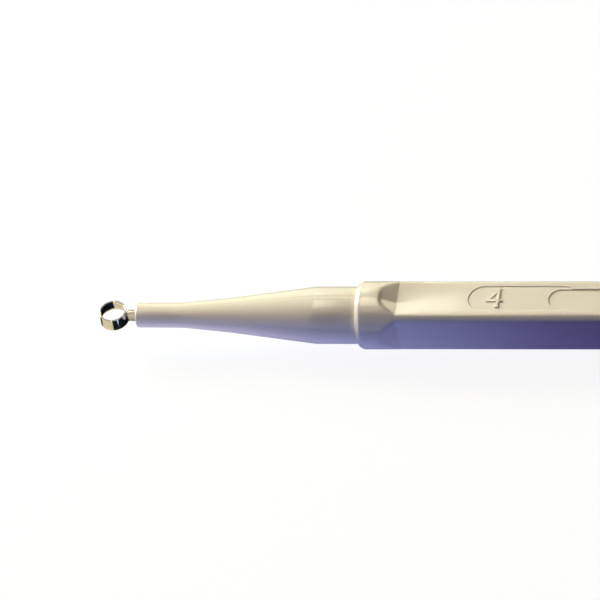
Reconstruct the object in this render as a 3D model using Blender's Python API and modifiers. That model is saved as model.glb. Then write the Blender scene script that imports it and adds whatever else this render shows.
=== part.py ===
"""Disposable ring curette: a rolled steel ring blade, a moulded nose and a moulded square handle.

Run it in Blender 4.5. Sizes are in metres. X runs along the instrument, from the ring at -X to the
closed end of the handle at +X. The ring's axis and the marked face of the handle point up, along +Z.
The origin lies under the middle of the instrument, on the surface that the collar rests on.
"""

import math

import bmesh
import bpy
from mathutils import Matrix, Vector

MM = 0.001

# Blade: one strip of sheet steel, rolled to a ring, with its two ends laid together as neck and tang
RING_DIAMETER = 4.0 * MM
RING_TAPER = 0.2 * MM
BAND_WIDTH = 1.9 * MM
STRIP_THICKNESS = 0.2 * MM
GRIND_WIDTH = 0.45 * MM
EDGE_THICKNESS = 0.03 * MM
PLY_GAP = 0.02 * MM
BEND_RADIUS = 0.18 * MM
RING_TO_NOSE = 3.4 * MM
TANG_LENGTH = 5.0 * MM
TANG_CLEARANCE = 0.03 * MM

# Nose: a turned form, from the stem that grips the tang to the barrel that meets the handle
STEM_TIP_DIAMETER = 3.4 * MM
STEM_DIAMETER = 3.52 * MM
STEM_LENGTH = 6.8 * MM
FLARE_DIAMETER = 4.84 * MM
FLARE_LENGTH = 6.65 * MM
CONE_LENGTH = 12.25 * MM
BARREL_DIAMETER = 8.0 * MM
BARREL_LENGTH = 6.25 * MM
TIP_ROUNDING = 0.25 * MM
STEM_BLEND = 10.0 * MM
FLARE_BLEND = 40.0 * MM
CONE_BLEND = 5.0 * MM
BARREL_ROUNDING = 0.1 * MM

# Spigot and socket: the nose plugs into the handle
SPIGOT_DIAMETER = 5.2 * MM
SPIGOT_LENGTH = 9.0 * MM
SPIGOT_CHAMFER = 0.4 * MM
SPIGOT_CLEARANCE = 0.04 * MM
SOCKET_FLOOR_GAP = 0.5 * MM
JOINT_GAP = 0.05 * MM

# Handle: a round collar that runs down four flat ramps into a rounded square grip
HANDLE_LENGTH = 110.0 * MM
COLLAR_DIAMETER = 9.5 * MM
COLLAR_CHAMFER_LENGTH = 0.55 * MM
COLLAR_ROUNDING = 0.12 * MM
RAMP_START = 3.2 * MM
RAMP_LENGTH = 2.55 * MM
GRIP_WIDTH = 7.3 * MM
GRIP_CORNER_RADIUS = 1.0 * MM
GRIP_END_RADIUS = 0.6 * MM
COLLAR_RUNOUT = 0.1 * MM
RAMP_SIDES = 4

# Upper face of the grip: a wide shallow recess, and a narrower deeper one that starts within it
FRONT_RECESS_START = 15.5 * MM
FRONT_RECESS_LENGTH = 16.2 * MM
FRONT_RECESS_WIDTH = 5.1 * MM
FRONT_RECESS_DEPTH = 0.13 * MM
RECESS_OVERLAP = 4.9 * MM
REAR_RECESS_LENGTH = 21.0 * MM
REAR_RECESS_WIDTH = 4.1 * MM
REAR_RECESS_DEPTH = 0.26 * MM

# Fineness of the round forms
TURN_STEPS = 72
RING_STEPS = 56
BEND_STEPS = 5
FILLET_STEPS = 5
CORNER_STEPS = 8
MERGE_DISTANCE = 0.001 * MM

# Shares that keep neighbouring arcs from meeting: of an outline's side, and of a recess's width
FILLET_REACH_SHARE = 0.45
RECESS_END_SHARE = 0.499

# Places that follow from the sizes, measured from the nose's front face
NOSE_LENGTH = STEM_LENGTH + FLARE_LENGTH + CONE_LENGTH + BARREL_LENGTH
BLADE_REACH = RING_TO_NOSE + RING_DIAMETER / 2
HANDLE_START = NOSE_LENGTH + JOINT_GAP
TOTAL_LENGTH = BLADE_REACH + HANDLE_START + HANDLE_LENGTH
AXIS_PLACE = Vector((BLADE_REACH - TOTAL_LENGTH / 2, 0.0, COLLAR_DIAMETER / 2))
TURNED_TO_X = (0.0, -math.pi / 2, 0.0)


def clear_scene():
    """Empties the scene and its collections."""
    for item in list(bpy.data.objects):
        bpy.data.objects.remove(item, do_unlink=True)
    for collection in list(bpy.data.collections):
        bpy.data.collections.remove(collection)


def make_collection(name):
    """A new collection under the scene."""
    collection = bpy.data.collections.new(name)
    bpy.context.scene.collection.children.link(collection)
    return collection


def make_material(name, colour, roughness, metallic):
    """A plain surface finish."""
    material = bpy.data.materials.new(name)
    material.use_nodes = True
    material.diffuse_color = (*colour, 1.0)
    shader = material.node_tree.nodes["Principled BSDF"]
    shader.inputs["Base Color"].default_value = (*colour, 1.0)
    shader.inputs["Roughness"].default_value = roughness
    shader.inputs["Metallic"].default_value = metallic
    return material


def add_object(name, mesh_data, collection, parent, place=(0.0, 0.0, 0.0)):
    """An object that carries mesh_data, placed from its parent."""
    item = bpy.data.objects.new(name, mesh_data)
    collection.objects.link(item)
    item.parent = parent
    item.location = place
    return item


def mesh_from(shape, name):
    """Turns a bmesh into mesh data and frees it."""
    data = bpy.data.meshes.new(name)
    shape.to_mesh(data)
    shape.free()
    return data


def make_cutter(item):
    """Marks an object as a tool that only shapes others."""
    item.hide_render = True
    item.display_type = "WIRE"
    return item


def add_boolean(item, tool, operation):
    """Cuts item with tool, or joins tool to it."""
    modifier = item.modifiers.new(tool.name, "BOOLEAN")
    modifier.operation = operation
    modifier.object = tool
    modifier.solver = "EXACT"


def rounded_outline(corners):
    """An outline through corners of (along, radius, rounding), with each rounding as an arc."""
    outline = []
    for index, (along, radius, rounding) in enumerate(corners):
        corner = Vector((along, radius, 0.0))
        if rounding == 0.0:
            outline.append(corner)
            continue
        back = Vector((*corners[index - 1][:2], 0.0)) - corner
        ahead = Vector((*corners[index + 1][:2], 0.0)) - corner
        half_angle = back.angle(ahead) / 2
        longest_reach = FILLET_REACH_SHARE * min(back.length, ahead.length)
        reach = min(rounding / math.tan(half_angle), longest_reach)
        fillet = reach * math.tan(half_angle)
        middle = (back.normalized() + ahead.normalized()).normalized()
        centre = corner + middle * (fillet / math.sin(half_angle))
        first = corner + back.normalized() * reach - centre
        last = corner + ahead.normalized() * reach - centre
        for step in range(FILLET_STEPS + 1):
            spoke = first.slerp(last, step / FILLET_STEPS).normalized()
            outline.append(centre + spoke * fillet)
    return outline


def turned(name, corners, collection, parent, along=0.0):
    """A solid of revolution about X, from corners that start and end on the axis."""
    profile = bmesh.new()
    points = [profile.verts.new((point.y, 0.0, -point.x)) for point in rounded_outline(corners)]
    for first, second in zip(points, points[1:]):
        profile.edges.new((first, second))
    item = add_object(name, mesh_from(profile, name), collection, parent, (along, 0.0, 0.0))
    item.rotation_euler = TURNED_TO_X
    screw = item.modifiers.new("turn", "SCREW")
    screw.steps = TURN_STEPS
    screw.render_steps = TURN_STEPS
    screw.use_merge_vertices = True
    screw.merge_threshold = MERGE_DISTANCE
    screw.use_smooth_shade = True
    return item


def rounded_block(size, radius, axis):
    """A box about the origin, with its four edges along one axis rounded."""
    block = bmesh.new()
    bmesh.ops.create_cube(block, size=1.0)
    bmesh.ops.scale(block, vec=size, verts=block.verts)
    along = [e for e in block.edges if abs((e.verts[0].co - e.verts[1].co)[axis]) > size[axis] / 2]
    bmesh.ops.bevel(block, geom=along, offset=radius, segments=CORNER_STEPS, profile=0.5, affect="EDGES")
    return block


def strip_path(ring_diameter):
    """Outer face of the strip in plan, about the ring's centre, from one tang end round to the other."""
    ring_radius = ring_diameter / 2
    neck_half = PLY_GAP / 2 + STRIP_THICKNESS
    bend_height = neck_half + BEND_RADIUS
    bend_along = math.sqrt((ring_radius + BEND_RADIUS) ** 2 - bend_height ** 2)
    mouth = math.atan2(bend_height, bend_along)
    half = [Vector((RING_TO_NOSE + TANG_LENGTH, neck_half))]
    for step in range(BEND_STEPS + 1):
        angle = -math.pi / 2 - (math.pi / 2 - mouth) * step / BEND_STEPS
        bend = Vector((math.cos(angle), math.sin(angle))) * BEND_RADIUS
        half.append(Vector((bend_along, bend_height)) + bend)
    for step in range(1, RING_STEPS // 2 + 1):
        angle = mouth + (math.pi - mouth) * step / (RING_STEPS // 2)
        half.append(Vector((math.cos(angle), math.sin(angle))) * ring_radius)
    other_half = [Vector((point.x, -point.y)) for point in reversed(half[:-1])]
    return half + other_half


def make_blade(collection, parent, material):
    """The rolled strip, wider at the lower rim, which is ground sharp from inside the ring."""
    lower_rim = -BAND_WIDTH / 2
    strip = bmesh.new()
    rows = []
    for height in (lower_rim, lower_rim + GRIND_WIDTH, BAND_WIDTH / 2):
        diameter = RING_DIAMETER - RING_TAPER * (height - lower_rim) / BAND_WIDTH
        points = [strip.verts.new((point.x, point.y, height)) for point in strip_path(diameter)]
        rows.append([strip.edges.new(pair) for pair in zip(points, points[1:])])
    for lower, upper in zip(rows, rows[1:]):
        bmesh.ops.bridge_loops(strip, edges=lower + upper)
    strip.normal_update()
    front = min(strip.faces, key=lambda face: face.calc_center_median().x)
    if front.normal.x > 0.0:
        bmesh.ops.reverse_faces(strip, faces=strip.faces)
    blade = add_object("blade", mesh_from(strip, "blade"), collection, parent, (-RING_TO_NOSE, 0.0, 0.0))
    blade.data.materials.append(material)
    blade.data.shade_smooth()
    full = blade.vertex_groups.new(name="full_thickness")
    neck_start = RING_DIAMETER / 2
    for vertex in blade.data.vertices:
        ground = vertex.co.z < lower_rim + GRIND_WIDTH / 2 and vertex.co.x < neck_start
        full.add([vertex.index], 0.0 if ground else 1.0, "REPLACE")
    wall = blade.modifiers.new("strip", "SOLIDIFY")
    wall.thickness = STRIP_THICKNESS
    wall.offset = -1.0
    wall.use_even_offset = True
    wall.vertex_group = full.name
    wall.thickness_vertex_group = EDGE_THICKNESS / STRIP_THICKNESS
    return blade


def make_nose(collection, cutters, parent, material):
    """The turned nose, with the slot that holds the tang and the spigot that enters the handle."""
    flare_end = STEM_LENGTH + FLARE_LENGTH
    cone_end = flare_end + CONE_LENGTH
    spigot_end = NOSE_LENGTH + SPIGOT_LENGTH
    nose = turned("nose", [
        (0.0, 0.0, 0.0),
        (0.0, STEM_TIP_DIAMETER / 2, TIP_ROUNDING),
        (STEM_LENGTH, STEM_DIAMETER / 2, STEM_BLEND),
        (flare_end, FLARE_DIAMETER / 2, FLARE_BLEND),
        (cone_end, BARREL_DIAMETER / 2, CONE_BLEND),
        (NOSE_LENGTH, BARREL_DIAMETER / 2, BARREL_ROUNDING),
        (NOSE_LENGTH, SPIGOT_DIAMETER / 2, 0.0),
        (spigot_end - SPIGOT_CHAMFER, SPIGOT_DIAMETER / 2, 0.0),
        (spigot_end, SPIGOT_DIAMETER / 2 - SPIGOT_CHAMFER, 0.0),
        (spigot_end, 0.0, 0.0),
    ], collection, parent)
    nose.data.materials.append(material)
    slot_depth = TANG_LENGTH + TANG_CLEARANCE
    slot_height = BAND_WIDTH + 2 * TANG_CLEARANCE
    slot_width = PLY_GAP + 2 * STRIP_THICKNESS + 2 * TANG_CLEARANCE
    slot = bmesh.new()
    bmesh.ops.create_cube(slot, size=1.0)
    bmesh.ops.scale(slot, vec=(2 * slot_depth, slot_width, slot_height), verts=slot.verts)
    cutter = make_cutter(add_object("tang_slot", mesh_from(slot, "tang_slot"), cutters, parent))
    add_boolean(nose, cutter, "DIFFERENCE")
    return nose


def make_collar(cutters, parent):
    """The round collar, cut down by a flat ramp on each side of the grip."""
    ramp_end = RAMP_START + RAMP_LENGTH
    tail_end = ramp_end + COLLAR_RUNOUT
    tail_radius = COLLAR_DIAMETER / 2 - COLLAR_RUNOUT
    collar = make_cutter(turned("collar", [
        (0.0, 0.0, 0.0),
        (0.0, BARREL_DIAMETER / 2, 0.0),
        (COLLAR_CHAMFER_LENGTH, COLLAR_DIAMETER / 2, COLLAR_ROUNDING),
        (RAMP_START + RAMP_LENGTH / 2, COLLAR_DIAMETER / 2, 0.0),
        (tail_end, tail_radius, 0.0),
        (tail_end, 0.0, 0.0),
    ], cutters, parent, HANDLE_START))
    drop = (COLLAR_DIAMETER - GRIP_WIDTH) / 2
    slope = math.atan2(drop, RAMP_LENGTH)
    ramp_run = RAMP_LENGTH / math.cos(slope)
    block_size = Vector((3 * ramp_run, COLLAR_DIAMETER, 2 * drop))
    middle = Vector((ramp_run / 2, 0.0, block_size.z / 2))
    for side in range(RAMP_SIDES):
        ramp = bmesh.new()
        bmesh.ops.create_cube(ramp, size=1.0)
        bmesh.ops.scale(ramp, vec=block_size, verts=ramp.verts)
        bmesh.ops.translate(ramp, vec=middle, verts=ramp.verts)
        bmesh.ops.rotate(ramp, matrix=Matrix.Rotation(slope, 3, "Y"), verts=ramp.verts)
        bmesh.ops.translate(ramp, vec=(RAMP_START, 0.0, COLLAR_DIAMETER / 2), verts=ramp.verts)
        facing = Matrix.Rotation(math.tau * side / RAMP_SIDES, 3, "X")
        bmesh.ops.rotate(ramp, matrix=facing, verts=ramp.verts)
        name = f"ramp_{side + 1}"
        cutter = add_object(name, mesh_from(ramp, name), cutters, parent, (HANDLE_START, 0.0, 0.0))
        add_boolean(collar, make_cutter(cutter), "DIFFERENCE")
    return collar


def make_handle(collection, cutters, parent, material):
    """The square grip joined to its collar, with the blind socket and the two recesses."""
    grip_start = COLLAR_CHAMFER_LENGTH
    grip_length = HANDLE_LENGTH - grip_start
    grip = rounded_block((grip_length, GRIP_WIDTH, GRIP_WIDTH), GRIP_CORNER_RADIUS, 0)
    rear_end = grip_length / 2 - MERGE_DISTANCE
    end_edges = [e for e in grip.edges if min(e.verts[0].co.x, e.verts[1].co.x) > rear_end]
    bmesh.ops.bevel(grip, geom=end_edges, offset=GRIP_END_RADIUS, segments=FILLET_STEPS, profile=0.5,
                    affect="EDGES")
    bmesh.ops.translate(grip, vec=(grip_start + grip_length / 2, 0.0, 0.0), verts=grip.verts)
    handle = add_object("handle", mesh_from(grip, "handle"), collection, parent, (HANDLE_START, 0.0, 0.0))
    handle.data.materials.append(material)

    rear_start = FRONT_RECESS_START + FRONT_RECESS_LENGTH - RECESS_OVERLAP
    for name, start, length, width, depth in (
        ("front_recess", FRONT_RECESS_START, FRONT_RECESS_LENGTH, FRONT_RECESS_WIDTH, FRONT_RECESS_DEPTH),
        ("rear_recess", rear_start, REAR_RECESS_LENGTH, REAR_RECESS_WIDTH, REAR_RECESS_DEPTH),
    ):
        recess = rounded_block((length, width, 2 * depth), RECESS_END_SHARE * width, 2)
        place = (HANDLE_START + start + length / 2, 0.0, GRIP_WIDTH / 2)
        cutter = add_object(name, mesh_from(recess, name), cutters, parent, place)
        add_boolean(handle, make_cutter(cutter), "DIFFERENCE")

    add_boolean(handle, make_collar(cutters, parent), "UNION")
    socket_radius = SPIGOT_DIAMETER / 2 + SPIGOT_CLEARANCE
    socket_depth = SPIGOT_LENGTH + SOCKET_FLOOR_GAP
    socket = turned("socket", [
        (-SPIGOT_LENGTH, 0.0, 0.0),
        (-SPIGOT_LENGTH, socket_radius, 0.0),
        (socket_depth, socket_radius, 0.0),
        (socket_depth, 0.0, 0.0),
    ], cutters, parent, HANDLE_START)
    add_boolean(handle, make_cutter(socket), "DIFFERENCE")
    return handle


def main():
    """Builds the curette."""
    clear_scene()
    parts = make_collection("ring_curette")
    cutters = make_collection("cutters")
    steel = make_material("polished_steel", (0.62, 0.61, 0.60), 0.12, 1.0)
    plastic = make_material("ivory_plastic", (0.86, 0.82, 0.72), 0.38, 0.0)
    axis = add_object("nose_face", None, parts, None, AXIS_PLACE)
    make_blade(parts, axis, steel)
    make_nose(parts, cutters, axis, plastic)
    make_handle(parts, cutters, axis, plastic)


main()
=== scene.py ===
"""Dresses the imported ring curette: a rolled steel ring blade, a moulded nose and a moulded square handle."""

import logging
import math
from dataclasses import dataclass
from enum import Enum

import bmesh
import bpy
from mathutils import Matrix, Vector


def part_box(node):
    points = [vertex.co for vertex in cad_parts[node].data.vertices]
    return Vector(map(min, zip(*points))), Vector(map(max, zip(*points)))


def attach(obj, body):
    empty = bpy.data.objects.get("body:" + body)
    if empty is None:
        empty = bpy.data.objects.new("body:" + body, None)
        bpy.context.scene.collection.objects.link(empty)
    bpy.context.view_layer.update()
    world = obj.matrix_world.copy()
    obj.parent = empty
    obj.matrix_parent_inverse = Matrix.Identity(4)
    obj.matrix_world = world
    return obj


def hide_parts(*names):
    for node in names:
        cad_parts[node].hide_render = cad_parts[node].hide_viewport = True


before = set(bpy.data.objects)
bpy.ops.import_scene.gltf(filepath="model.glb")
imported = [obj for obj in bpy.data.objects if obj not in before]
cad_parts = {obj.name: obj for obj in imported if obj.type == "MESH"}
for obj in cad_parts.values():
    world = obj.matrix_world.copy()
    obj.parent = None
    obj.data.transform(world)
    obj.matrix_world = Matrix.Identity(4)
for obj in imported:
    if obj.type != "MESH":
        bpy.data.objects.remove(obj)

MM = 0.001
LOG = logging.getLogger("ring_curette")
MERGE_DISTANCE = 0.0005 * MM
JOINT_GAP = 0.05 * MM
Colour = tuple[float, float, float]
Pair = tuple[float, float]
BLACK: Colour = (0.0, 0.0, 0.0)
WHITE: Colour = (1.0, 1.0, 1.0)

# Spots of the moulded skin's patterns, for each metre along X, Y and Z
GRAIN_SPOTS: Colour = (5200.0, 5200.0, 5200.0)
FLOW_SPOTS: Colour = (45.0, 900.0, 900.0)
CLOUD_SPOTS: Colour = (70.0, 260.0, 260.0)
SCUFF_SPOTS: Colour = (260.0, 2600.0, 2600.0)


class Node(Enum):
    """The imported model's nodes."""

    BLADE = "blade"
    NOSE = "nose"
    HANDLE = "handle"


class Slot(Enum):
    """The material slots."""

    STEEL = "steel"
    NOSE_PLASTIC = "nose_plastic"
    HANDLE_PLASTIC = "handle_plastic"


@dataclass(frozen=True)
class Axis:
    """The instrument's axis, which runs along X from the nose's front face."""

    face: float
    height: float

    @classmethod
    def of_frame(cls) -> "Axis":
        """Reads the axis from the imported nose."""
        low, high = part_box(Node.NOSE.value)
        return cls(low.x, (low.z + high.z) / 2)

    def place(self, along: float = 0.0) -> Matrix:
        """The move from a piece's own start, on the axis, to its place in the frame.

        Args:
            along: how far behind the nose's front face the piece starts.

        Returns:
            A translation matrix.
        """
        return Matrix.Translation((self.face + along, 0.0, self.height))


def rounded_outline(corners: list[tuple[float, float, float]], steps: int) -> list[Vector]:
    """Rounds an outline's corners with arcs.

    Args:
        corners: points of (along, radius, rounding).
        steps: straight pieces in each arc.

    Returns:
        The outline's points, with along in x and radius in y.
    """
    reach_share = 0.45
    outline = []
    for index, (along, radius, rounding) in enumerate(corners):
        corner = Vector((along, radius, 0.0))
        if rounding == 0.0:
            outline.append(corner)
            continue
        back = Vector((*corners[index - 1][:2], 0.0)) - corner
        ahead = Vector((*corners[index + 1][:2], 0.0)) - corner
        half_angle = back.angle(ahead) / 2
        reach = min(rounding / math.tan(half_angle), reach_share * min(back.length, ahead.length))
        fillet = reach * math.tan(half_angle)
        middle = (back.normalized() + ahead.normalized()).normalized()
        centre = corner + middle * (fillet / math.sin(half_angle))
        first = corner + back.normalized() * reach - centre
        last = corner + ahead.normalized() * reach - centre
        outline += [centre + first.slerp(last, step / steps).normalized() * fillet
                    for step in range(steps + 1)]
    return outline


def chain(shape: bmesh.types.BMesh, points: list[Vector], closed: bool = False) -> list[bmesh.types.BMEdge]:
    """Adds a row of edges through points.

    Args:
        shape: the bmesh to add to.
        points: where the row's vertices lie.
        closed: whether the last vertex joins the first.

    Returns:
        The new edges.
    """
    verts = [shape.verts.new(point) for point in points]
    follow = verts[1:] + verts[:1] if closed else verts[1:]
    return [shape.edges.new(pair) for pair in zip(verts, follow)]


def verts_of(edges: list[bmesh.types.BMEdge]) -> list[bmesh.types.BMVert]:
    """The vertices of some edges, each once and in order."""
    return list(dict.fromkeys(vert for edge in edges for vert in edge.verts))


def turned(outline: list[Vector], steps: int) -> bmesh.types.BMesh:
    """Spins an outline once round the X axis.

    Args:
        outline: points with the distance along the axis in x and the radius in y.
        steps: faces round the form.

    Returns:
        A closed bmesh about the axis.
    """
    shape = bmesh.new()
    edges = chain(shape, [Vector((point.x, 0.0, point.y)) for point in outline])
    bmesh.ops.spin(shape, geom=verts_of(edges) + edges, axis=(1.0, 0.0, 0.0), cent=(0.0, 0.0, 0.0),
                   angle=math.tau, steps=steps, use_merge=True)
    bmesh.ops.remove_doubles(shape, verts=shape.verts, dist=MERGE_DISTANCE)
    bmesh.ops.recalc_face_normals(shape, faces=shape.faces)
    return shape


def verts_in(items: list) -> list[bmesh.types.BMVert]:
    """The vertices among the items that an operator gives back."""
    return [item for item in items if isinstance(item, bmesh.types.BMVert)]


def edges_in(items: list) -> list[bmesh.types.BMEdge]:
    """The edges among the items that an operator gives back."""
    return [item for item in items if isinstance(item, bmesh.types.BMEdge)]


def new_object(name: str, data: bpy.types.ID) -> bpy.types.Object:
    """Makes an object and puts it in the scene.

    Args:
        name: the object's name.
        data: its mesh, text, lamp or camera.

    Returns:
        The new object.
    """
    thing = bpy.data.objects.new(name, data)
    bpy.context.scene.collection.objects.link(thing)
    return thing


def mesh_object(name: str, shape: bmesh.types.BMesh) -> bpy.types.Object:
    """Makes an object from a bmesh.

    Args:
        name: the object's name.
        shape: the bmesh, which is freed.

    Returns:
        The new object.
    """
    data = bpy.data.meshes.new(name)
    shape.to_mesh(data)
    shape.free()
    return new_object(name, data)


def finished(shape: bmesh.types.BMesh, name: str, place: Matrix, material: bpy.types.Material,
             crease: float = 32.0) -> bpy.types.Object:
    """Makes an object at the origin from a bmesh, with its place in its mesh.

    Args:
        shape: the bmesh, which is freed.
        name: the piece's name.
        place: the move from the bmesh's own place to the frame.
        material: the piece's finish.
        crease: edges that bend by more than this angle, in degrees, stay sharp.

    Returns:
        The new object.
    """
    bmesh.ops.transform(shape, matrix=place, verts=shape.verts)
    piece = mesh_object(name, shape)
    piece.data.materials.append(material)
    piece.data.shade_smooth()
    piece.data.set_sharp_from_angle(angle=math.radians(crease))
    return piece


def settle(piece: bpy.types.Object, slot: Slot, *nodes: Node) -> None:
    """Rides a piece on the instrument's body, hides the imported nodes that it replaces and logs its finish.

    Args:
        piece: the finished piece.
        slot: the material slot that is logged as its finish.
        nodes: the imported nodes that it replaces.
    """
    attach(piece, "root")
    if nodes:
        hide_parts(*[node.value for node in nodes])
    LOG.info("%s: %d faces, finish %s", piece.name, len(piece.data.polygons), slot.value)


class Graph:
    """A small helper that adds and links a node tree's nodes."""

    def __init__(self, tree: bpy.types.NodeTree) -> None:
        """Keeps the tree that the nodes go into."""
        self.tree = tree

    def add(self, kind: str, links: dict | None = None, **settings: object) -> bpy.types.Node:
        """Adds a node.

        Args:
            kind: the node's type name.
            links: for each input's name or number, the socket or the value that it takes.
            settings: the node's own properties.

        Returns:
            The new node.
        """
        node = self.tree.nodes.new(kind)
        for key, value in settings.items():
            setattr(node, key, value)
        self.feed_all(node, links or {})
        return node

    def feed_all(self, node: bpy.types.Node, links: dict) -> None:
        """Feeds a node's inputs, each by its name or number."""
        for key, value in links.items():
            self.feed(node.inputs[key], value)

    def feed(self, socket: bpy.types.NodeSocket, value: object) -> None:
        """Links an input to an output socket, or sets its value.

        Args:
            socket: the input.
            value: the output socket or the value.
        """
        if isinstance(value, bpy.types.NodeSocket):
            self.tree.links.new(value, socket)
        else:
            socket.default_value = value

    def noise(self, vector: bpy.types.NodeSocket, stretch: Colour, detail: float,
              roughness: float) -> bpy.types.NodeSocket:
        """A noise pattern with its own number of spots for each metre along X, Y and Z.

        Args:
            vector: the coordinates.
            stretch: spots for each metre along each axis.
            detail: octaves of finer noise.
            roughness: strength of the finer octaves.

        Returns:
            The noise value's socket, from 0 to 1.
        """
        mapped = self.add("ShaderNodeMapping", {"Vector": vector, "Scale": stretch}).outputs["Vector"]
        return self.add("ShaderNodeTexNoise", {"Vector": mapped, "Scale": 1.0, "Detail": detail,
                                               "Roughness": roughness}).outputs[0]

    def tint(self, mask: bpy.types.NodeSocket, first: object, second: object) -> bpy.types.NodeSocket:
        """A colour that goes from the first to the second as a mask goes from 0 to 1.

        Args:
            mask: the socket that chooses between them.
            first: the colour, or the colour's socket, where the mask is 0.
            second: the colour, or the colour's socket, where the mask is 1.

        Returns:
            The mixed colour's socket.
        """
        node = self.add("ShaderNodeMix", {"Factor": mask}, data_type="RGBA")
        sockets = {socket.identifier: socket for socket in node.inputs}
        for name, colour in (("A_Color", first), ("B_Color", second)):
            self.feed(sockets[name], colour if isinstance(colour, bpy.types.NodeSocket) else (*colour, 1.0))
        return next(socket for socket in node.outputs if socket.identifier == "Result_Color")

    def math(self, operation: str, first: object, second: object = 0.0) -> bpy.types.NodeSocket:
        """The result of an operation, by its name in Blender, on one or two values or sockets."""
        return self.add("ShaderNodeMath", {0: first, 1: second}, operation=operation).outputs[0]

    def ramp(self, value: bpy.types.NodeSocket, low: float, high: float, start: float = 0.0,
             end: float = 1.0) -> bpy.types.NodeSocket:
        """Maps a value from start to end onto low to high, and holds it there.

        Args:
            value: the socket that is read.
            low: the result at start.
            high: the result at end.
            start: the value that gives low.
            end: the value that gives high.

        Returns:
            The mapped value's socket.
        """
        return self.add("ShaderNodeMapRange", {"Value": value, "From Min": start, "From Max": end,
                                               "To Min": low, "To Max": high}).outputs["Result"]


def new_material(name: str) -> tuple[bpy.types.Material, Graph, bpy.types.Node]:
    """Makes a material with nodes.

    Args:
        name: the material's name.

    Returns:
        The material, its graph and its shader.
    """
    material = bpy.data.materials.new(name)
    material.use_nodes = True
    return material, Graph(material.node_tree), material.node_tree.nodes["Principled BSDF"]


def moulded_skin() -> bpy.types.NodeTree:
    """The surface of a moulded plastic: fine grain, long flow marks and soft clouding.

    Returns:
        A shader node group whose outputs are a cloud mask, a dullness mask and a height.
    """
    name = "moulded_skin"
    if name in bpy.data.node_groups:
        return bpy.data.node_groups[name]
    tree = bpy.data.node_groups.new(name, "ShaderNodeTree")
    for output in ("Cloud", "Dullness", "Height"):
        tree.interface.new_socket(output, in_out="OUTPUT", socket_type="NodeSocketFloat")
    graph = Graph(tree)
    place = graph.add("ShaderNodeTexCoord").outputs["Object"]
    grain = graph.noise(place, GRAIN_SPOTS, detail=2.0, roughness=0.55)
    flow = graph.noise(place, FLOW_SPOTS, detail=3.0, roughness=0.6)
    cloud = graph.noise(place, CLOUD_SPOTS, detail=4.0, roughness=0.55)
    scuff = graph.noise(place, SCUFF_SPOTS, detail=5.0, roughness=0.7)
    marks = graph.ramp(scuff, 0.0, 1.0, start=0.62, end=0.74)
    dull = graph.math("ADD", graph.ramp(flow, 0.0, 0.6, start=0.35, end=0.65), marks)
    height = graph.math("ADD", graph.ramp(flow, 0.0, 0.8), grain)
    graph.add("NodeGroupOutput", {"Cloud": graph.ramp(cloud, 0.0, 1.0, start=0.3, end=0.7), "Dullness": dull,
                                  "Height": height})
    return tree


@dataclass(frozen=True)
class MouldedIvory:
    """A satin ivory moulding compound."""

    name: str
    clear: Colour = (0.89, 0.805, 0.65)
    clouded: Colour = (0.86, 0.77, 0.61)
    gloss: float = 0.11
    dull: float = 0.17
    grain_depth: float = 0.0008 * MM

    def material(self) -> bpy.types.Material:
        """Makes the finish.

        Returns:
            The finish as a material.
        """
        material, graph, shader = new_material(self.name)
        masks = graph.add("ShaderNodeGroup", node_tree=moulded_skin()).outputs
        bump = graph.add("ShaderNodeBump", {"Height": masks["Height"], "Distance": self.grain_depth,
                                            "Strength": 1.0})
        graph.feed_all(shader, {"Base Color": graph.tint(masks["Cloud"], self.clear, self.clouded),
                                "Roughness": graph.ramp(masks["Dullness"], self.gloss, self.dull),
                                "Normal": bump.outputs["Normal"]})
        return material


@dataclass(frozen=True)
class RolledSteel:
    """Bright stainless strip, with the fine lines of its rolling along the strip."""

    name: str
    bright: Colour = (0.74, 0.70, 0.62)
    worn: Colour = (0.60, 0.57, 0.52)
    polished: float = 0.06
    rubbed: float = 0.2
    line_depth: float = 0.0006 * MM
    line_spots: Colour = (300.0, 300.0, 26000.0)
    smear_spots: Colour = (900.0, 900.0, 1500.0)

    def material(self) -> bpy.types.Material:
        """Makes the finish.

        Returns:
            The finish as a material.
        """
        material, graph, shader = new_material(self.name)
        place = graph.add("ShaderNodeTexCoord").outputs["Object"]
        lines = graph.noise(place, self.line_spots, detail=3.0, roughness=0.6)
        smear = graph.noise(place, self.smear_spots, detail=3.0, roughness=0.5)
        smudge = graph.ramp(smear, 0.0, 1.0, start=0.35, end=0.7)
        dullness = graph.ramp(lines, self.polished, self.rubbed, start=0.35, end=0.75)
        bump = graph.add("ShaderNodeBump", {"Height": lines, "Distance": self.line_depth, "Strength": 1.0})
        graph.feed_all(shader, {"Base Color": graph.tint(smudge, self.bright, self.worn), "Metallic": 1.0,
                                "Roughness": dullness, "Normal": bump.outputs["Normal"]})
        return material


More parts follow.
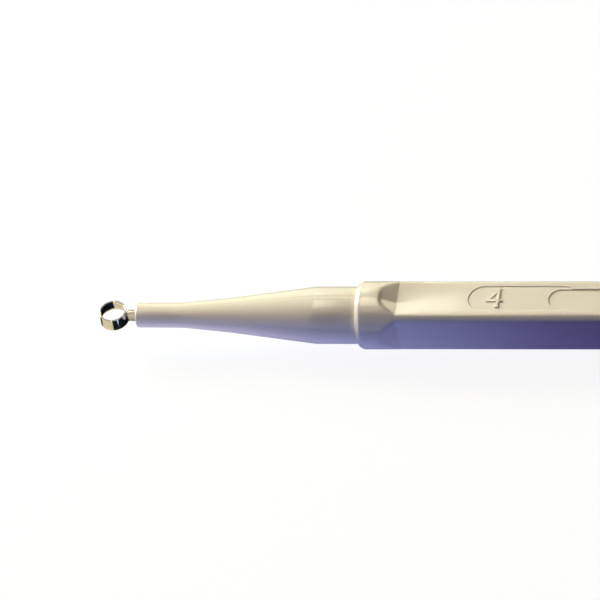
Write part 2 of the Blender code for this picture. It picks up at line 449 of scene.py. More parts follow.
@dataclass
class RingBlade:
    """The rolled strip: a ring, ground sharp at its lower rim, and its two ends laid together."""

    axis: Axis
    finish: RolledSteel
    ring_diameter: float
    band_width: float
    ring_to_nose: float
    taper: float = 0.2 * MM
    thickness: float = 0.2 * MM
    grind_width: float = 0.45 * MM
    edge_thickness: float = 0.03 * MM
    ply_gap: float = 0.02 * MM
    bend_radius: float = 0.18 * MM
    rim_rounding: float = 0.04 * MM
    tang_length: float = 5.0 * MM
    merge_distance: float = 0.0002 * MM
    crease: float = 20.0
    ring_steps: int = 192
    bend_steps: int = 12

    @classmethod
    def of_frame(cls, axis: Axis, finish: RolledSteel) -> "RingBlade":
        """Takes the ring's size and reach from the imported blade."""
        low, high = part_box(Node.BLADE.value)
        return cls(axis, finish, high.y - low.y, high.z - low.z, axis.face - low.x - (high.y - low.y) / 2)

    def section(self) -> list[Vector]:
        """The strip's section at the tang's end, on the ring's +Y side, with its outer face outwards.

        Returns:
            The section's points, in order round it.
        """
        outer = self.ply_gap / 2 + self.thickness
        inner = self.ply_gap / 2
        low, high = -self.band_width / 2, self.band_width / 2
        end = self.ring_to_nose + self.tang_length
        turn = self.rim_rounding
        corner = 1.0 - math.sqrt(0.5)
        outline = [(outer, low), (outer, high - 2 * turn), (outer, high - turn),
                   (outer - corner * turn, high - corner * turn), (outer - turn, high), (inner + turn, high),
                   (inner + corner * turn, high - corner * turn), (inner, high - turn),
                   (inner, high - 2 * turn), (inner, low + self.grind_width + turn),
                   (inner, low + self.grind_width), (inner, low)]
        return [Vector((end, across, up)) for across, up in outline]

    def sweep(self, shape: bmesh.types.BMesh) -> float:
        """Carries the section along one ply, round the ring and back along the other ply.

        Args:
            shape: the bmesh that receives the strip.

        Returns:
            The angle from the neck to where the ring begins, at the ring's centre.
        """
        radius = self.ring_diameter / 2
        height = self.ply_gap / 2 + self.thickness + self.bend_radius
        along = math.sqrt((radius + self.bend_radius) ** 2 - height ** 2)
        mouth = math.atan2(height, along)
        up = (0.0, 0.0, 1.0)
        run = self.ring_to_nose + self.tang_length - along
        edges = self.draw_out(shape, chain(shape, self.section(), closed=True), -run)
        for centre, angle, steps in (((along, height, 0.0), mouth - math.pi / 2, self.bend_steps),
                                     ((0.0, 0.0, 0.0), math.tau - 2 * mouth, self.ring_steps),
                                     ((along, -height, 0.0), mouth - math.pi / 2, self.bend_steps)):
            swept = bmesh.ops.spin(shape, geom=verts_of(edges) + edges, axis=up, cent=centre, angle=angle,
                                   steps=steps)
            edges = edges_in(swept["geom_last"])
        self.draw_out(shape, edges, run)
        return mouth

    @staticmethod
    def draw_out(shape: bmesh.types.BMesh, edges: list[bmesh.types.BMEdge],
                 run: float) -> list[bmesh.types.BMEdge]:
        """Extrudes a loop of edges along X.

        Args:
            shape: the bmesh that they are in.
            edges: the loop.
            run: how far it goes.

        Returns:
            The loop at the far end.
        """
        drawn = bmesh.ops.extrude_edge_only(shape, edges=edges)["geom"]
        ends = verts_in(drawn)
        bmesh.ops.translate(shape, vec=(run, 0.0, 0.0), verts=ends)
        return [edge for edge in edges_in(drawn) if set(edge.verts) <= set(ends)]

    def grind(self, shape: bmesh.types.BMesh, mouth: float) -> None:
        """Grinds the lower rim from inside and draws the band in towards its upper rim.

        Args:
            shape: the swept strip.
            mouth: the angle from the neck to where the ring begins, at the ring's centre.
        """
        radius = self.ring_diameter / 2
        low = -self.band_width / 2
        mouth_x = radius * math.cos(mouth)
        neck_x = (radius + self.bend_radius) * math.cos(mouth)
        tang_x = self.ring_to_nose + self.tang_length
        for vert in shape.verts:
            spoke = Vector((vert.co.x, vert.co.y, 0.0))
            on_ring = vert.co.x <= mouth_x
            inside = spoke.length < radius - self.thickness / 2
            if on_ring and inside and vert.co.z < low + self.grind_width / 2:
                spoke *= (radius - self.edge_thickness) / spoke.length
            draw = self.taper / 2 * (vert.co.z - low) / self.band_width / radius
            if on_ring:
                spoke *= 1.0 - draw
            else:
                # The ends follow the ring's mouth, less and less towards the neck and the tang's end
                hold = min(1.0, max(0.0, (neck_x - spoke.x) / (neck_x - mouth_x)))
                slide = max(0.0, (tang_x - spoke.x) / (tang_x - mouth_x))
                spoke.x -= draw * mouth_x * slide
                spoke.y *= 1.0 - draw * hold
            vert.co.x, vert.co.y = spoke.x, spoke.y

    def build(self) -> None:
        """Builds the blade and settles it in the frame."""
        shape = bmesh.new()
        mouth = self.sweep(shape)
        bmesh.ops.remove_doubles(shape, verts=shape.verts, dist=self.merge_distance)
        bmesh.ops.holes_fill(shape, edges=[edge for edge in shape.edges if edge.is_boundary])
        self.grind(shape, mouth)
        bmesh.ops.recalc_face_normals(shape, faces=shape.faces)
        place = self.axis.place(-self.ring_to_nose)
        piece = finished(shape, "ring_blade", place, self.finish.material(), self.crease)
        settle(piece, Slot.STEEL, Node.BLADE)


@dataclass
class Nose:
    """The moulded nose: a stem that grips the tang, a flare, a cone, a barrel and a hidden spigot."""

    axis: Axis
    finish: MouldedIvory
    length: float
    tip_diameter: float = 3.4 * MM
    stem_diameter: float = 3.52 * MM
    stem_length: float = 6.8 * MM
    flare_diameter: float = 4.84 * MM
    flare_length: float = 6.65 * MM
    cone_length: float = 12.25 * MM
    barrel_diameter: float = 8.0 * MM
    spigot_diameter: float = 5.2 * MM
    spigot_length: float = 9.0 * MM
    spigot_chamfer: float = 0.4 * MM
    tip_rounding: float = 0.25 * MM
    stem_blend: float = 10.0 * MM
    flare_blend: float = 40.0 * MM
    cone_blend: float = 5.0 * MM
    barrel_rounding: float = 0.12 * MM
    slot_width: float = 0.48 * MM
    slot_height: float = 1.96 * MM
    slot_depth: float = 5.03 * MM
    seam_width: float = 0.12 * MM
    seam_depth: float = 0.035 * MM
    seam_fade: int = 3
    cut_distance: float = 0.0001 * MM
    turn_steps: int = 240
    arc_steps: int = 12

    @classmethod
    def of_frame(cls, axis: Axis, finish: MouldedIvory) -> "Nose":
        """Takes the nose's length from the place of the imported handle."""
        return cls(axis, finish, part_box(Node.HANDLE.value)[0].x - axis.face - JOINT_GAP)

    def outline(self) -> list[Vector]:
        """The nose's profile, from the middle of its front face to the middle of the spigot's end.

        Returns:
            The profile's points, with the distance along the axis in x and the radius in y.
        """
        flare_end = self.stem_length + self.flare_length
        spigot_end = self.length + self.spigot_length
        return rounded_outline([
            (0.0, 0.0, 0.0),
            (0.0, self.tip_diameter / 2, self.tip_rounding),
            (self.stem_length, self.stem_diameter / 2, self.stem_blend),
            (flare_end, self.flare_diameter / 2, self.flare_blend),
            (flare_end + self.cone_length, self.barrel_diameter / 2, self.cone_blend),
            (self.length, self.barrel_diameter / 2, self.barrel_rounding),
            (self.length, self.spigot_diameter / 2, 0.0),
            (spigot_end - self.spigot_chamfer, self.spigot_diameter / 2, 0.0),
            (spigot_end, self.spigot_diameter / 2 - self.spigot_chamfer, 0.0),
            (spigot_end, 0.0, 0.0),
        ], self.arc_steps)

    @staticmethod
    def front(shape: bmesh.types.BMesh) -> list[bmesh.types.BMFace]:
        """The faces of the flat front face."""
        straight_ahead = -0.999
        return [face for face in shape.faces if face.normal.x < straight_ahead]

    def cut_slot(self, shape: bmesh.types.BMesh) -> None:
        """Opens the slot for the tang in the front face.

        Args:
            shape: the turned nose.
        """
        half_width, half_height = self.slot_width / 2, self.slot_height / 2
        for across, up, normal in ((half_width, 0.0, (0, 1, 0)), (-half_width, 0.0, (0, 1, 0)),
                                   (0.0, half_height, (0, 0, 1)), (0.0, -half_height, (0, 0, 1))):
            front = {item for face in self.front(shape) for item in (*face.verts, *face.edges, face)}
            bmesh.ops.bisect_plane(shape, geom=list(front), plane_co=(0.0, across, up), plane_no=normal,
                                   dist=self.cut_distance)
        mouth = []
        for face in self.front(shape):
            centre = face.calc_center_median()
            if abs(centre.y) < half_width and abs(centre.z) < half_height:
                mouth.append(face)
        drawn = bmesh.ops.extrude_face_region(shape, geom=mouth)["geom"]
        bmesh.ops.translate(shape, vec=(self.slot_depth, 0.0, 0.0), verts=verts_in(drawn))
        bmesh.ops.delete(shape, geom=mouth, context="FACES_ONLY")

    def mark_seam(self, shape: bmesh.types.BMesh) -> None:
        """Presses the mould's fine parting line into the top and bottom of the nose.

        Args:
            shape: the turned nose.
        """
        for vert in shape.verts:
            radius = math.hypot(vert.co.y, vert.co.z)
            if 0.0 < vert.co.x < self.length and radius > self.tip_diameter / 2:
                fade = min(1.0, radius / (self.barrel_diameter / 2)) ** self.seam_fade
                depth = self.seam_depth * fade * math.exp(-(vert.co.y / self.seam_width) ** 2)
                vert.co.z *= 1.0 - depth / radius
                vert.co.y *= 1.0 - depth / radius

    def build(self) -> None:
        """Builds the nose and settles it in the frame."""
        shape = turned(self.outline(), self.turn_steps)
        self.cut_slot(shape)
        self.mark_seam(shape)
        bmesh.ops.recalc_face_normals(shape, faces=shape.faces)
        piece = finished(shape, "moulded_nose", self.axis.place(), self.finish.material())
        settle(piece, Slot.NOSE_PLASTIC, Node.NOSE)


@dataclass(frozen=True)
class Recess:
    """A shallow, round-ended recess in the upper face of the grip."""

    start: float
    length: float
    width: float
    depth: float
    draft: float = 0.14 * MM
    end_steps: int = 24

    def cutter(self, place: Matrix, face: float) -> bpy.types.Object:
        """A drafted, round-ended block that cuts the recess.

        Args:
            place: the handle's front face, in the frame.
            face: how far the upper face lies over the axis.

        Returns:
            The cutter, in the frame.
        """
        radius = self.width / 2
        lift = 2 * self.depth
        points = []
        for end in (1, -1):
            for step in range(self.end_steps + 1):
                angle = -math.pi / 2 + math.pi * step / self.end_steps
                points.append(Vector((end * (self.length / 2 - radius + radius * math.cos(angle)),
                                      end * radius * math.sin(angle), 0.0)))
        shape = bmesh.new()
        outline = shape.faces.new([shape.verts.new(point) for point in points])
        drawn = bmesh.ops.extrude_face_region(shape, geom=[outline])["geom"]
        for vert in verts_in(drawn):
            past = max(0.0, abs(vert.co.x) - self.length / 2 + radius)
            spoke = Vector((past, vert.co.y, 0.0)).normalized()
            spoke.x = math.copysign(spoke.x, vert.co.x)
            vert.co -= spoke * self.draft * (1 + lift / self.depth)
            vert.co.z -= lift + self.depth
        bmesh.ops.recalc_face_normals(shape, faces=shape.faces)
        middle = Matrix.Translation((self.start + self.length / 2, 0.0, face + lift))
        bmesh.ops.transform(shape, matrix=place @ middle, verts=shape.verts)
        return mesh_object("recess", shape)


@dataclass
class Handle:
    """The moulded handle: a round collar that runs down four ramps into a rounded square grip.

    Its upper side has the sink mark of a thick moulding. On the ramp it is a valley, valley_shift beside the
    middle. Behind the ramp it turns into a soft dish over dish_length, and fades out over sink_fade.
    """

    axis: Axis
    finish: MouldedIvory
    start: float
    length: float
    collar_diameter: float
    mouth_diameter: float = 8.8 * MM
    mouth_rounding: float = 0.03 * MM
    chamfer_length: float = 0.55 * MM
    collar_rounding: float = 0.8 * MM
    collar_run: float = 1.0 * MM
    skin_start: float = 1.4 * MM
    ramp_start: float = 3.2 * MM
    ramp_length: float = 2.55 * MM
    ramp_rounding: float = 0.25 * MM
    ramp_lead: float = 0.3 * MM
    grip_width: float = 7.3 * MM
    corner_radius: float = 0.65 * MM
    end_radius: float = 0.6 * MM
    ramp_sink: float = 0.2 * MM
    sink_onset: float = 5.0
    valley_shift: float = -0.7 * MM
    valley_rounding: float = 0.12 * MM
    dish_length: float = 2.0 * MM
    grip_sink: float = 0.03 * MM
    sink_fade: float = 9.0 * MM
    socket_diameter: float = 5.28 * MM
    socket_depth: float = 9.5 * MM
    front_recess: Recess = Recess(15.5 * MM, 16.2 * MM, 5.1 * MM, 0.13 * MM)
    rear_recess: Recess = Recess(26.8 * MM, 21.0 * MM, 4.1 * MM, 0.26 * MM)
    numeral: str = "4"
    numeral_height: float = 3.5 * MM
    numeral_place: float = 19.8 * MM
    numeral_shift: float = 0.25 * MM
    numeral_relief: float = 0.04 * MM
    numeral_root: float = 0.02 * MM
    numeral_bevel: float = 0.05 * MM
    crease: float = 25.0
    round_steps: int = 360
    ramp_steps: int = 72
    grip_steps: int = 8
    arc_steps: int = 10

    @classmethod
    def of_frame(cls, axis: Axis, finish: MouldedIvory) -> "Handle":
        """Takes the handle's place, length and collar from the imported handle."""
        low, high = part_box(Node.HANDLE.value)
        return cls(axis, finish, low.x - axis.face, high.x - low.x, high.z - low.z)

    def square_radius(self, angle: float, half: float, sink: float, dish: float) -> float:
        """The reach of the rounded square at an angle round the axis.

        Args:
            angle: the angle round the axis.
            half: half the square's width.
            sink: how far the upper side has shrunk in.
            dish: the shape of the sink, from 0, two planes that meet in a valley, to 1, a soft dish.

        Returns:
            The distance from the axis to the square's side or corner.
        """
        side = abs((angle + math.pi / 4) % (math.pi / 2) - math.pi / 4)
        straight = half - self.corner_radius
        across = half * math.tan(side)
        if across <= straight:
            on_upper_side = math.sin(angle) > math.sqrt(0.5)
            if on_upper_side:
                beside = math.copysign(across, math.cos(angle)) - self.valley_shift
                room = straight - math.copysign(self.valley_shift, beside)
                turn = self.valley_rounding
                valley = 1.0 - math.hypot(beside, turn) / math.hypot(room, turn)
                half -= sink * (valley + dish * (1.0 - (across / straight) ** 2 - valley))
            return half / math.cos(side)
        middle = Vector((straight, straight))
        reach = middle.dot(Vector((math.cos(side), math.sin(side))))
        return reach + math.sqrt(max(0.0, self.corner_radius ** 2 - middle.length_squared + reach ** 2))

    def section_radius(self, along: float, angle: float) -> float:
        """The handle's reach from the axis.

        Args:
            along: the distance from the handle's front face.
            angle: the angle round the axis.

        Returns:
            The radius of the handle's skin there.
        """
        collar = self.collar_diameter / 2
        drop = collar - self.grip_width / 2
        share = (along - self.ramp_start) / self.ramp_length
        half = collar - drop * min(1.0, share)
        past = along - self.ramp_start - self.ramp_length
        fade = max(0.0, min(1.0, past / self.sink_fade))
        dish = max(0.0, min(1.0, past / self.dish_length))
        onset = max(0.0, min(1.0, self.sink_onset * share))
        sink = self.ramp_sink + (self.grip_sink - self.ramp_sink) * fade
        square = self.square_radius(angle, half, sink * onset, dish)
        # The smaller of the collar and the square, rounded where the two meet
        blend = self.ramp_rounding
        mix = max(0.0, min(1.0, 0.5 + 0.5 * (collar - square) / blend))
        return collar + (square - collar) * mix - blend * mix * (1.0 - mix)

    def stations(self) -> list[float]:
        """Where the skin's loops lie behind the collar's chamfer, up to the start of the rear rounding.

        Returns:
            Distances from the handle's front face.
        """
        ramp_end = self.ramp_start + self.ramp_length
        first = self.ramp_start - self.ramp_lead
        run = self.ramp_length + 2 * self.ramp_lead
        ramp = [first + run * step / self.ramp_steps for step in range(self.ramp_steps + 1)]
        grip = [ramp_end + self.sink_fade * (step + 1) / self.grip_steps for step in range(self.grip_steps)]
        return [self.chamfer_length + self.skin_start] + ramp + grip + [self.length - self.end_radius]

    def loops(self) -> list[tuple[float, float | None, float]]:
        """The skin's loops, from the floor of the socket round the collar to the rear face.

        Returns:
            For each loop its place along the handle, its radius, or None where section_radius gives it, and
            how far it is drawn in.
        """
        outline = rounded_outline([
            (self.socket_depth, self.socket_diameter / 4, 0.0),
            (self.socket_depth, self.socket_diameter / 2, 0.0),
            (0.0, self.socket_diameter / 2, 0.0),
            (0.0, self.mouth_diameter / 2, self.mouth_rounding),
            (self.chamfer_length, self.collar_diameter / 2, self.collar_rounding),
            (self.chamfer_length + self.collar_run, self.collar_diameter / 2, 0.0),
        ], self.arc_steps)
        loops = [(point.x, point.y, 0.0) for point in outline]
        loops += [(along, None, 0.0) for along in self.stations()]
        start = self.length - self.end_radius
        for step in range(1, self.arc_steps + 1):
            turn = math.pi / 2 * step / self.arc_steps
            inset = self.end_radius * (1 - math.cos(turn))
            loops.append((start + self.end_radius * math.sin(turn), None, inset))
        return loops

    def skin(self) -> bmesh.types.BMesh:
        """Draws the handle's skin out of a circle, loop by loop, with the socket at its front.

        Returns:
            A closed bmesh about the axis.
        """
        shape = bmesh.new()
        bmesh.ops.create_circle(shape, segments=self.round_steps, radius=1.0)
        bmesh.ops.rotate(shape, matrix=Matrix.Rotation(math.pi / 2, 3, "Y"), verts=shape.verts)
        edges = list(shape.edges)
        for number, (along, radius, inset) in enumerate(self.loops()):
            if number:
                drawn = bmesh.ops.extrude_edge_only(shape, edges=edges)["geom"]
                edges = [edge for edge in edges_in(drawn) if edge.is_boundary]
            for vert in verts_of(edges):
                angle = math.atan2(vert.co.z, vert.co.y)
                reach = radius if radius is not None else self.section_radius(along, angle) - inset
                vert.co = Vector((along, reach * math.cos(angle), reach * math.sin(angle)))
        bmesh.ops.holes_fill(shape, edges=[edge for edge in shape.edges if edge.is_boundary])
        bmesh.ops.recalc_face_normals(shape, faces=shape.faces)
        return shape

    def sink_recesses(self, piece: bpy.types.Object) -> None:
        """Cuts the recesses into the finished skin and removes their cutters.

        Args:
            piece: the handle.
        """
        for recess in (self.front_recess, self.rear_recess):
            cutter = recess.cutter(self.axis.place(self.start), self.grip_width / 2)
            cut = piece.modifiers.new("recess", "BOOLEAN")
            cut.operation = "DIFFERENCE"
            cut.solver = "EXACT"
            cut.object = cutter
            graph = bpy.context.evaluated_depsgraph_get()
            data = bpy.data.meshes.new_from_object(piece.evaluated_get(graph))
            piece.modifiers.remove(cut)
            piece.data = data
            bpy.data.objects.remove(cutter)
        piece.data.shade_smooth()
        piece.data.set_sharp_from_angle(angle=math.radians(self.crease))

    def flat_numeral(self) -> bmesh.types.BMesh:
        """The numeral as flat faces at its own height.

        Returns:
            A bmesh of the numeral's face.
        """
        text = bpy.data.curves.new("size_numeral", "FONT")
        text.body = self.numeral
        text.align_x = "CENTER"
        holder = new_object("numeral_text", text)
        graph = bpy.context.evaluated_depsgraph_get()
        flat = bpy.data.meshes.new_from_object(holder.evaluated_get(graph))
        bpy.data.objects.remove(holder)
        shape = bmesh.new()
        shape.from_mesh(flat)
        text_merge, flat_angle = 0.001, math.radians(1.0)
        bmesh.ops.remove_doubles(shape, verts=shape.verts, dist=text_merge)
        bmesh.ops.dissolve_limit(shape, angle_limit=flat_angle, verts=shape.verts, edges=shape.edges)
        tall = max(vert.co.y for vert in shape.verts) - min(vert.co.y for vert in shape.verts)
        scale = self.numeral_height / tall
        bmesh.ops.scale(shape, vec=(scale, scale, scale), verts=shape.verts)
        return shape

    def build_numeral(self, material: bpy.types.Material) -> None:
        """Raises the ring's size, a plain numeral in millimetres, on the floor of the first recess.

        Args:
            material: the handle's finish.
        """
        shape = self.flat_numeral()
        rise = self.front_recess.depth + self.numeral_relief
        rim_angle = 1.0
        drawn = bmesh.ops.extrude_face_region(shape, geom=shape.faces[:])["geom"]
        bmesh.ops.translate(shape, vec=(0.0, 0.0, rise), verts=verts_in(drawn))
        bmesh.ops.recalc_face_normals(shape, faces=shape.faces)
        rim = [edge for edge in shape.edges if min(vert.co.z for vert in edge.verts) > rise / 2
               and len(edge.link_faces) == 2 and edge.calc_face_angle() > rim_angle]
        bmesh.ops.bevel(shape, geom=rim, offset=self.numeral_bevel, segments=3, profile=0.5, affect="EDGES",
                        material=-1)
        centre = sum((vert.co for vert in shape.verts), Vector()) / len(shape.verts)
        up = self.grip_width / 2 - self.front_recess.depth - self.numeral_root
        shift = Matrix.Translation((-centre.x, -centre.y - self.numeral_shift, up))
        place = self.axis.place(self.start + self.numeral_place) @ shift
        piece = finished(shape, "size_numeral", place, material)
        settle(piece, Slot.HANDLE_PLASTIC)

    def build(self) -> None:
        """Builds the handle and its numeral and settles them in the frame."""
        material = self.finish.material()
        piece = finished(self.skin(), "moulded_handle", self.axis.place(self.start), material, self.crease)
        self.sink_recesses(piece)
        settle(piece, Slot.HANDLE_PLASTIC, Node.HANDLE)
        self.build_numeral(material)


def hung(elevation: float, lean: float) -> Matrix:
    """The turn that points Z at a place round the instrument's axis.

    Args:
        elevation: degrees round the axis, from 0 in front to 90 overhead and 180 behind.
        lean: the share of the direction that lies along the axis.

    Returns:
        A rotation matrix.
    """
    rise = math.radians(elevation)
    spread = math.sqrt(1.0 - lean ** 2)
    out = Vector((lean, -math.cos(rise) * spread, math.sin(rise) * spread))
    side = (Vector((1.0, 0.0, 0.0)) - out * lean).normalized()
    return Matrix((side, out.cross(side), out)).transposed().to_4x4()


@dataclass(frozen=True)
class Softbox:
    """One soft lamp, hung round the instrument's axis.

    Its level is the brightness that it gives to a white surface that faces it.
    """

    name: str
    elevation: float
    lean: float
    distance: float
    size: Pair
    level: float
    colour: Colour

    def place(self, aim: Vector) -> None:
        """Hangs the lamp.

        Args:
            aim: the point that it faces.
        """
        lamp = bpy.data.lights.new(self.name, "AREA")
        lamp.shape = "RECTANGLE"
        lamp.size, lamp.size_y = self.size
        lamp.energy = self.level * (math.pi * self.distance) ** 2
        lamp.color = self.colour
        facing = Matrix.Translation(aim) @ hung(self.elevation, self.lean)
        new_object(self.name, lamp).matrix_world = facing @ Matrix.Translation((0.0, 0.0, self.distance))


@dataclass(frozen=True)
class Card:
    """A card that only reflections see, as polished steel needs it."""

    name: str
    low: Pair
    high: Pair
    lift: float
    colour: Colour

    def place(self, origin: Matrix) -> None:
        """Lays the card.

        Args:
            origin: the place that its corners and its lift are measured from.
        """
        shape = bmesh.new()
        bmesh.ops.create_grid(shape, x_segments=1, y_segments=1, size=0.5)
        spread = Vector((self.high[0] - self.low[0], self.high[1] - self.low[1], 1.0))
        middle = Vector(((self.high[0] + self.low[0]) / 2, (self.high[1] + self.low[1]) / 2, self.lift))
        bmesh.ops.scale(shape, vec=spread, verts=shape.verts)
        material, graph, shader = new_material(self.name)
        graph.feed_all(shader, {"Base Color": (*BLACK, 1.0), "Specular IOR Level": 0.0,
                                "Emission Color": (*self.colour, 1.0), "Emission Strength": 1.0})
        card = finished(shape, self.name, origin @ Matrix.Translation(middle), material)
        for ray in ("camera", "diffuse", "shadow", "transmission", "volume_scatter"):
            setattr(card, f"visible_{ray}", False)


def shown_rays(graph: Graph) -> bpy.types.NodeSocket:
    """Tells the rays that show a thing from those that only light it.

    Args:
        graph: the nodes of a material or the world.

    Returns:
        A socket of 1 for camera, glossy and transmission rays and 0 for the others.
    """
    rays = graph.add("ShaderNodeLightPath").outputs
    first = graph.math("MAXIMUM", rays["Is Camera Ray"], rays["Is Glossy Ray"])
    return graph.math("MAXIMUM", first, rays["Is Transmission Ray"])


@dataclass(frozen=True)
class PaleFloor:
    """A floor that shows white with a soft shadow, and lights the instrument's shaded side.

    That light is a bright blue ahead of the nose and a dim violet under the handle. It comes from a pool on
    the camera's side of the axis.
    """

    name: str
    shown_glow: Colour = (0.9, 0.9, 0.9)
    shown_base: Colour = (0.12, 0.12, 0.12)
    roughness: float = 0.9
    start: float = -85 * MM
    end: float = 65 * MM
    glows: tuple[tuple[float, Colour], ...] = (
        (0.0, (1.1, 1.15, 1.8)), (1 / 6, (1.15, 1.18, 1.95)), (1 / 3, (0.5, 0.58, 1.45)),
        (0.5, (0.19, 0.16, 0.66)), (2 / 3, (0.04, 0.04, 0.18)), (1.0, (0.6, 0.6, 0.8)),
    )
    pool_ahead: float = 11 * MM
    pool_core: float = 9 * MM
    pool_reach: float = 24 * MM

    def glow(self, graph: Graph, along: bpy.types.NodeSocket) -> bpy.types.NodeSocket:
        """The colour of the floor's light along the instrument.

        Args:
            graph: the floor's nodes.
            along: the distance along the instrument.

        Returns:
            The colour's socket.
        """
        blend = graph.add("ShaderNodeValToRGB", {"Fac": graph.ramp(along, 0.0, 1.0, self.start, self.end)})
        stops = blend.color_ramp.elements
        for share, colour in self.glows:
            stop = stops[0] if share == 0.0 else stops[-1] if share == 1.0 else stops.new(share)
            stop.color = (*colour, 1.0)
        return blend.outputs["Color"]

    def material(self) -> bpy.types.Material:
        """Makes the finish.

        Returns:
            The finish as a material.
        """
        material, graph, shader = new_material(self.name)
        place = graph.add("ShaderNodeTexCoord").outputs["Object"]
        split = graph.add("ShaderNodeSeparateXYZ", {"Vector": place}).outputs
        from_pool = graph.math("ABSOLUTE", graph.math("ADD", split["Y"], self.pool_ahead))
        faded = graph.ramp(from_pool, 0.0, 1.0, self.pool_core, self.pool_reach)
        given = graph.tint(faded, self.glow(graph, split["X"]), BLACK)
        shown = shown_rays(graph)
        graph.feed_all(shader, {"Base Color": graph.tint(shown, BLACK, self.shown_base),
                                "Roughness": self.roughness, "Specular IOR Level": 0.0,
                                "Emission Color": graph.tint(shown, given, self.shown_glow),
                                "Emission Strength": 1.0})
        return material


# The lamps: degrees round the axis, lean, distance, size, level and colour
LAMPS = (
    Softbox("warm_key", 130.0, -0.8, 0.6, (0.29, 0.2), 1.12, (1.0, 0.72, 0.29)),
    Softbox("cool_key", 144.0, -0.8, 0.6, (0.29, 0.2), 1.07, (0.42, 0.76, 0.99)),
    Softbox("front_fill", 60.0, -0.8, 1.0, (0.3, 0.3), 0.18, (0.06, 0.22, 0.9)),
    Softbox("overhead", 97.5, -0.22, 2.0, (0.1, 1.09), 0.12, (1.0, 0.93, 0.7)),
    Softbox("overhead_front", 71.0, -0.22, 2.0, (0.1, 0.77), 0.032, (1.0, 0.9, 0.65)),
    Softbox("behind", 142.5, -0.23, 2.0, (0.12, 0.81), 0.055, (1.0, 1.0, 0.9)),
    Softbox("behind_right", 145.0, 0.385, 2.0, (0.3, 0.42), 0.08, (1.0, 0.92, 0.7)),
)

# The cards on the floor that the ring's wall mirrors, measured from under the ring's middle
FLOOR_CARDS = (
    Card("black_card", (-0.6 * MM, -60 * MM), (140 * MM, 60 * MM), 0.06 * MM, (0.004, 0.006, 0.012)),
    Card("ivory_card", (-60 * MM, -60 * MM), (-0.6 * MM, 60 * MM), 0.06 * MM, (0.92, 0.8, 0.58)),
    Card("neck_card", (0.1 * MM, -5.6 * MM), (2.1 * MM, -3.95 * MM), 0.1 * MM, (0.72, 0.66, 0.5)),
    Card("blue_card", (4.2 * MM, -7.4 * MM), (5.6 * MM, -6.25 * MM), 0.12 * MM, (0.75, 1.1, 1.5)),
    Card("edge_card", (-7.0 * MM, 0.0 * MM), (-4.1 * MM, 6.0 * MM), 0.1 * MM, (0.03, 0.035, 0.04)),
)

# The card that the ring's upper rim mirrors, measured from the ring's middle
RIM_CARD = Card("rim_card", (-14 * MM, -14 * MM), (9 * MM, 14 * MM), 80 * MM, (0.2, 0.19, 0.17))


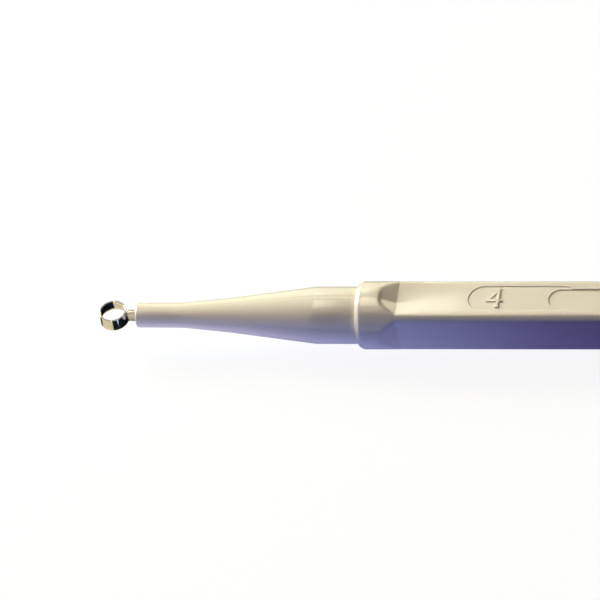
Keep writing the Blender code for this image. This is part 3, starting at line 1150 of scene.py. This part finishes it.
@dataclass
class Studio:
    """The camera, the lamps, the pale floor and the cards round the instrument."""

    axis: Axis
    turn: float = 12.0
    elevation: float = 48.8
    distance: float = 1.5
    pixels_per_metre: float = 7160.0
    frame_pixels: float = 600.0
    sensor: float = 36.0
    nearest: float = 0.01
    farthest: float = 20.0
    look_behind: float = 23.85 * MM
    look_above: float = 3.25 * MM
    ring_ahead: float = 3.4 * MM
    rim_card_elevation: float = 131.0
    rim_card_lean: float = -0.22
    collar_foot: float = 1.0 * MM
    rear_lift: float = 1.1 * MM
    floor_reach: float = 3.0

    def place_camera(self) -> None:
        """Puts the camera in front of the instrument and above it, with the axis level in the picture."""
        turn, rise = math.radians(self.turn), math.radians(self.elevation)
        back = Vector((math.sin(turn), -math.cos(turn) * math.cos(rise), math.cos(turn) * math.sin(rise)))
        right = Vector((math.cos(turn), math.sin(turn) * math.cos(rise), -math.sin(turn) * math.sin(rise)))
        up = back.cross(right)
        data = bpy.data.cameras.new("camera")
        data.sensor_width = self.sensor
        data.lens = self.sensor * self.pixels_per_metre * self.distance / self.frame_pixels
        data.clip_start = self.nearest
        data.clip_end = self.farthest
        camera = new_object("camera", data)
        aim = Vector((self.axis.face + self.look_behind, 0.0, self.axis.height + self.look_above))
        facing = Matrix((right, up, back)).transposed().to_4x4()
        camera.matrix_world = Matrix.Translation(aim + back * self.distance) @ facing
        bpy.context.scene.camera = camera

    def hang_lamps(self) -> None:
        """Hangs the lamps round the joint of nose and handle."""
        aim = Vector((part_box(Node.HANDLE.value)[0].x, 0.0, self.axis.height))
        for lamp in LAMPS:
            lamp.place(aim)

    def lay_cards(self) -> None:
        """Lays the cards that the steel ring reflects."""
        middle = self.axis.face - self.ring_ahead
        floor = self.floor_place()
        under = floor @ Matrix.Translation((middle - floor.translation.x, 0.0, 0.0))
        for card in FLOOR_CARDS:
            card.place(under)
        ring = Matrix.Translation((middle, 0.0, self.axis.height))
        RIM_CARD.place(ring @ hung(self.rim_card_elevation, self.rim_card_lean))

    def surround(self) -> None:
        """Puts a surround behind everything, white where it is seen, that gives no light."""
        world = bpy.data.worlds.new("surround")
        world.use_nodes = True
        bpy.context.scene.world = world
        graph = Graph(world.node_tree)
        background = world.node_tree.nodes["Background"]
        graph.feed(background.inputs["Color"], graph.tint(shown_rays(graph), BLACK, WHITE))

    def floor_place(self) -> Matrix:
        """The floor's place under the collar and the handle's rear end, where the instrument touches it.

        Returns:
            The floor's matrix.
        """
        low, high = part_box(Node.HANDLE.value)
        foot = low.x + self.collar_foot
        slope = math.atan(self.rear_lift / (high.x - foot))
        return Matrix.Translation((foot, 0.0, 0.0)) @ Matrix.Rotation(-slope, 4, "Y")

    def lay_floor(self) -> None:
        """Lays the floor."""
        shape = bmesh.new()
        bmesh.ops.create_grid(shape, x_segments=1, y_segments=1, size=self.floor_reach)
        finished(shape, "floor", self.floor_place(), PaleFloor("pale_floor").material())

    def build(self) -> None:
        """Sets up the studio."""
        bpy.context.scene.view_settings.view_transform = "Standard"
        self.surround()
        self.lay_floor()
        self.lay_cards()
        self.hang_lamps()
        self.place_camera()


def main() -> None:
    """Builds the pieces and the studio in order."""
    logging.basicConfig(level=logging.INFO, format="%(name)s: %(message)s")
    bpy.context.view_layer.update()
    axis = Axis.of_frame()
    RingBlade.of_frame(axis, RolledSteel("rolled_steel")).build()
    Nose.of_frame(axis, MouldedIvory("nose_ivory")).build()
    Handle.of_frame(axis, MouldedIvory("handle_ivory")).build()
    Studio(axis).build()


if __name__ == "__main__":
    main()
